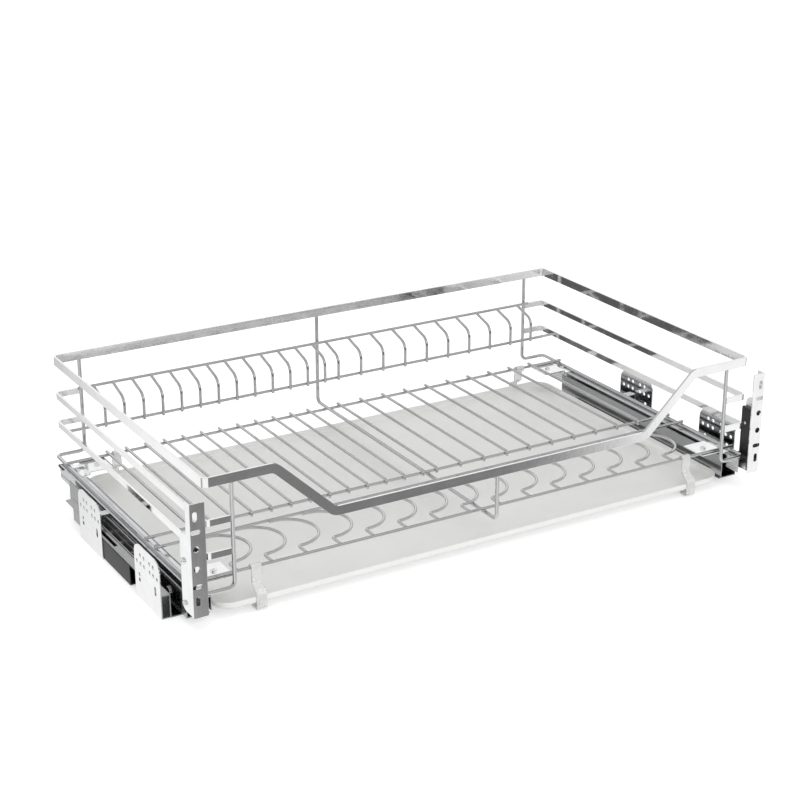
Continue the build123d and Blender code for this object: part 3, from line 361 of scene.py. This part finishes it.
def beads(name, places, body="basket"):
    """Small lumps of weld. Each place is a point and the bead's half sizes along x, y and z."""
    chance = random.Random(SEED + len(places))
    mesh = bmesh.new()
    for point, half in places:
        ball = bmesh.ops.create_icosphere(mesh, subdivisions=2, radius=1.0)
        lump = Vector([chance.uniform(-1, 1) for _ in range(3)]).normalized()
        dent = Vector([chance.uniform(-1, 1) for _ in range(3)]).normalized()
        for vert in ball["verts"]:
            outward = vert.co.normalized()
            swell = 1 + BEAD_LUMP * max(0.0, outward.dot(lump)) ** 2
            swell -= BEAD_DENT * max(0.0, outward.dot(dent)) ** 2
            swell += BEAD_WAVE * math.sin(9 * outward.x + 7 * outward.z)
            swell += chance.uniform(-BEAD_GRAIN, BEAD_GRAIN)
            vert.co = Vector([
                point[axis] + outward[axis] * half[axis] * swell for axis in range(3)
            ])
    for face in mesh.faces:
        face.smooth = True
    data = bpy.data.meshes.new(name)
    mesh.to_mesh(data)
    mesh.free()
    piece = bpy.data.objects.new(name, data)
    bpy.context.scene.collection.objects.link(piece)
    data.materials.append(looks["weld"])
    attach(piece, body)


FLOOR_R = 2.0 * MM     # of the floor, holder, plate and rack wires
FRAME_R = 2.5 * MM     # of the posts and the runs along the slides
# half sizes of the beads
SMALL = (1.9 * MM, 1.5 * MM, 1.5 * MM)
LONG_X = (3.0 * MM, 1.5 * MM, 1.4 * MM)
ROUND = (2.2 * MM, 2.2 * MM, 1.5 * MM)
TALL = (1.3 * MM, 1.3 * MM, 3.4 * MM)
POST_END = (2.6 * MM, 1.9 * MM, 1.2 * MM)
RACK_POST = (2.0 * MM, 1.2 * MM, 1.8 * MM)
RACK_END = (1.2 * MM, 2.3 * MM, 2.3 * MM)
TIP_RISE = 0.5 * MM    # of the beads at the plate wires' bent tips, over their wire's middle

front_wire = centre(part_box("floor_wire_front"))
rear_wire = centre(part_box("floor_wire_rear"))
middle_wires = [centre(box) for box in islands("floor_wires_middle")]
middle_wires.sort(key=lambda point: point.y)
holder_wire, field_wire = middle_wires
cross_wires = [front_wire, holder_wire, field_wire, rear_wire]

# the front half rings: each leg butts on the front wire, each tail lies along the wire behind
leg_places, tail_places = [], []
for low, _ in islands("jar_holder_arcs"):
    leg_places.append(((low.x + FLOOR_R, front_wire.y + FLOOR_R, front_wire.z), SMALL))
    tail_places.append(((low.x + 2 * FLOOR_R, holder_wire.y - FLOOR_R, holder_wire.z), LONG_X))
beads("weld_holder_legs", leg_places)
beads("weld_holder_tails", tail_places)

# the plate wires: bent tips on the front one of their wires, crossings on the rear wire
for side in ("left", "right"):
    places = []
    for low, high in islands("plate_wires_" + side):
        x = (low.x + high.x) / 2
        places.append(((x, field_wire.y - FLOOR_R, field_wire.z + TIP_RISE), SMALL))
        places.append(((x, rear_wire.y, rear_wire.z + FLOOR_R), SMALL))
    beads("weld_plate_wires_" + side, places)

# the rack wires: top ends on the upper wire, crossings in front of the lower wire
rack_upper = centre(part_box("rack_wire_upper"))
rack_lower = centre(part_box("rack_wire_lower"))
for side in ("left", "right"):
    places = []
    for low, high in islands("rack_wires_" + side):
        x = (low.x + high.x) / 2
        places.append(((x, rack_upper.y - FLOOR_R, rack_upper.z), SMALL))
        places.append(((x, rack_lower.y - FLOOR_R, rack_lower.z), SMALL))
    beads("weld_rack_wires_" + side, places)

# the floor wires where they cross the side frames' runs and the beam of the centre frame
run_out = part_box("side_frame_right")[1].x - FRAME_R
run_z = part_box("side_frame_right")[0].z + FRAME_R
crossings = [
    ((x, wire.y, run_z + FRAME_R), ROUND) for wire in cross_wires for x in (-run_out, 0.0, run_out)
]
beads("weld_floor_wires", crossings)

# posts to bands, and bands to posts
front_post_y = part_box("centre_frame")[0].y + FRAME_R
rear_post_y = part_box("centre_frame")[1].y - FRAME_R
post_out = FRAME_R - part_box("side_frame_left")[1].x
rail_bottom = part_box("side_frame_left")[1].z
centre_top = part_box("top_rail")[0].z
posts = []
for x in (-post_out, post_out):
    for y in (front_post_y, rear_post_y):
        posts.append(((x, y, rail_bottom), POST_END))
posts.append(((0.0, front_post_y, centre_top), POST_END))
posts.append(((0.0, rear_post_y, rail_bottom), POST_END))
for rail in ("middle_rail_", "lower_rail_"):
    z = centre(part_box(rail + "left")).z
    for x in (-post_out, post_out):
        for y in (front_post_y, rear_post_y):
            posts.append(((x + math.copysign(FRAME_R, x), y, z), TALL))
for x in (-post_out, 0.0, post_out):
    posts.append(((x, rear_post_y - FRAME_R, rack_upper.z), RACK_POST))
lower_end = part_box("rack_wire_lower")[1].x
for x in (-lower_end, lower_end):
    posts.append(((x, rack_lower.y, rack_lower.z), RACK_END))
beads("weld_posts", posts)


# ---- studio ----

def direction(azimuth, elevation):
    """A direction, with azimuth 0 to the front (-y) and 90 to the right (+x)."""
    a, e = math.radians(azimuth), math.radians(elevation)
    return (math.sin(a) * math.cos(e), -math.cos(a) * math.cos(e), math.sin(e))


# dark cards round the set, seen only in reflections:
# direction, half angle of the full dark, half angle where it ends, share of the white taken
CARDS = [
    (direction(29, -24), 4, 11, 0.80),
    (direction(218, -15), 4.5, 7, 0.90),
    (direction(143, -27), 5, 15, 0.55),
    (direction(186, -16), 8, 17, 0.60),
    (direction(95, -16), 9, 20, 0.65),
    (direction(275, -16), 9, 20, 0.60),
]
# dark zones by height, as the sine of the elevation: from, to, width of the soft edge, share taken
ZONES = [
    (-0.12, 0.12, 0.13, 0.78),
    (0.62, 1.10, 0.16, 0.45),
]
LEVEL = 0.62           # of the soft light that comes from all round


def multiplied(tree, first, second):
    """The product of two values, or the second alone if there is no first."""
    return second if first is None else combined(tree, "MULTIPLY", first, second)


def studio_world():
    """A soft white world. Only reflections see the dark cards and zones."""
    world = bpy.data.worlds.new("studio")
    world.use_nodes = True
    tree = world.node_tree
    tree.nodes.clear()
    coords = tree.nodes.new("ShaderNodeTexCoord").outputs["Generated"]
    parts = tree.nodes.new("ShaderNodeSeparateXYZ")
    tree.links.new(coords, parts.inputs[0])
    white = None
    for low, high, soft, share in ZONES:
        middle = tree.nodes.new("ShaderNodeMath")
        middle.operation = "SUBTRACT"
        middle.inputs[1].default_value = (low + high) / 2
        tree.links.new(parts.outputs["Z"], middle.inputs[0])
        off = tree.nodes.new("ShaderNodeMath")
        off.operation = "ABSOLUTE"
        tree.links.new(middle.outputs["Value"], off.inputs[0])
        zone = tree.nodes.new("ShaderNodeMapRange")
        zone.interpolation_type = "SMOOTHSTEP"
        zone.inputs["From Min"].default_value = (high - low) / 2
        zone.inputs["From Max"].default_value = (high - low) / 2 + soft
        zone.inputs["To Min"].default_value = 1.0 - share
        zone.inputs["To Max"].default_value = 1.0
        tree.links.new(off.outputs["Value"], zone.inputs["Value"])
        white = multiplied(tree, white, zone.outputs["Result"])
    for toward, full, fade, share in CARDS:
        dot = tree.nodes.new("ShaderNodeVectorMath")
        dot.operation = "DOT_PRODUCT"
        dot.inputs[1].default_value = toward
        tree.links.new(coords, dot.inputs[0])
        card = tree.nodes.new("ShaderNodeMapRange")
        card.interpolation_type = "SMOOTHSTEP"
        card.inputs["From Min"].default_value = math.cos(math.radians(fade))
        card.inputs["From Max"].default_value = math.cos(math.radians(full))
        card.inputs["To Min"].default_value = 1.0
        card.inputs["To Max"].default_value = 1.0 - share
        tree.links.new(dot.outputs["Value"], card.inputs["Value"])
        white = multiplied(tree, white, card.outputs["Result"])
    seen = tree.nodes.new("ShaderNodeBackground")
    mirrored = tree.nodes.new("ShaderNodeBackground")
    lighting = tree.nodes.new("ShaderNodeBackground")
    seen.inputs["Color"].default_value = (1, 1, 1, 1)
    tree.links.new(white, mirrored.inputs["Color"])
    lighting.inputs["Color"].default_value = (1, 1, 1, 1)
    lighting.inputs["Strength"].default_value = LEVEL
    path = tree.nodes.new("ShaderNodeLightPath")
    first = tree.nodes.new("ShaderNodeMixShader")
    tree.links.new(path.outputs["Is Glossy Ray"], first.inputs["Fac"])
    tree.links.new(lighting.outputs["Background"], first.inputs[1])
    tree.links.new(mirrored.outputs["Background"], first.inputs[2])
    in_view = combined(
        tree, "MAXIMUM", path.outputs["Is Camera Ray"], path.outputs["Is Transmission Ray"]
    )
    second = tree.nodes.new("ShaderNodeMixShader")
    tree.links.new(in_view, second.inputs["Fac"])
    tree.links.new(first.outputs["Shader"], second.inputs[1])
    tree.links.new(seen.outputs["Background"], second.inputs[2])
    out = tree.nodes.new("ShaderNodeOutputWorld")
    tree.links.new(second.outputs["Shader"], out.inputs["Surface"])
    bpy.context.scene.world = world


LAMP_AIM = Vector((0, 0, 0.08))


def lamp(name, place, size, watts):
    """A large soft lamp that points at the middle of the object and isn't mirrored in it."""
    light = bpy.data.lights.new(name, "AREA")
    light.shape = "SQUARE"
    light.size = size
    light.energy = watts
    holder = bpy.data.objects.new(name, light)
    bpy.context.scene.collection.objects.link(holder)
    holder.location = place
    aim = LAMP_AIM - Vector(place)
    holder.rotation_euler = aim.to_track_quat("-Z", "Y").to_euler()
    holder.visible_glossy = False


FLOOR_HALF = 7.0
FLOOR_DROP = 0.3 * MM
FLOOR_WHITE = 0.93
FLOOR_GLOW = 0.46


def studio_floor():
    """A white floor that keeps the soft shadow and isn't mirrored in the metal."""
    mesh = bmesh.new()
    bmesh.ops.create_grid(mesh, x_segments=8, y_segments=8, size=FLOOR_HALF)
    data = bpy.data.meshes.new("studio_floor")
    mesh.to_mesh(data)
    mesh.free()
    floor = bpy.data.objects.new("studio_floor", data)
    floor.location.z = -FLOOR_DROP
    bpy.context.scene.collection.objects.link(floor)
    material = bpy.data.materials.new("white_floor")
    material.use_nodes = True
    tree = material.node_tree
    shader = tree.nodes["Principled BSDF"]
    shader.inputs["Base Color"].default_value = (FLOOR_WHITE, FLOOR_WHITE, FLOOR_WHITE, 1)
    shader.inputs["Roughness"].default_value = 0.9
    shader.inputs["Specular IOR Level"].default_value = 0.0
    glow = tree.nodes.new("ShaderNodeEmission")
    glow.inputs["Strength"].default_value = FLOOR_GLOW
    nothing = tree.nodes.new("ShaderNodeEmission")
    nothing.inputs["Strength"].default_value = 0.0
    path = tree.nodes.new("ShaderNodeLightPath")
    in_view = combined(
        tree, "MAXIMUM", path.outputs["Is Camera Ray"], path.outputs["Is Transmission Ray"]
    )
    looked_at = combined(tree, "MAXIMUM", in_view, path.outputs["Is Glossy Ray"])
    pick = tree.nodes.new("ShaderNodeMixShader")
    tree.links.new(looked_at, pick.inputs["Fac"])
    tree.links.new(nothing.outputs["Emission"], pick.inputs[1])
    tree.links.new(glow.outputs["Emission"], pick.inputs[2])
    both = tree.nodes.new("ShaderNodeAddShader")
    tree.links.new(shader.outputs["BSDF"], both.inputs[0])
    tree.links.new(pick.outputs["Shader"], both.inputs[1])
    tree.links.new(both.outputs["Shader"], tree.nodes["Material Output"].inputs["Surface"])
    data.materials.append(material)
    floor.visible_glossy = False


studio_world()
studio_floor()
# name, place, side of the lamp's square, watts
lamp("overhead", (-0.4, -0.5, 1.9), 2.4, 15.0)
lamp("front_fill", (-0.2, -2.6, 0.9), 1.6, 16.0)

# the camera, recovered from the photograph's edges
CAMERA_PLACE = (-1.1184, -1.8921, 0.9781)
CAMERA_DOWN = 21.074   # degrees below level
CAMERA_TURN = 30.525   # degrees from straight ahead towards the right
CAMERA_LENS = 79.14
CAMERA_SENSOR = 36.0

camera_data = bpy.data.cameras.new("camera")
camera = bpy.data.objects.new("camera", camera_data)
bpy.context.scene.collection.objects.link(camera)
camera.location = CAMERA_PLACE
camera.rotation_euler = (math.radians(90 - CAMERA_DOWN), 0.0, math.radians(-CAMERA_TURN))
camera_data.sensor_width = CAMERA_SENSOR
camera_data.lens = CAMERA_LENS
camera_data.clip_start = 0.05
camera_data.clip_end = 40.0
bpy.context.scene.camera = camera
bpy.context.scene.view_settings.view_transform = "Standard"
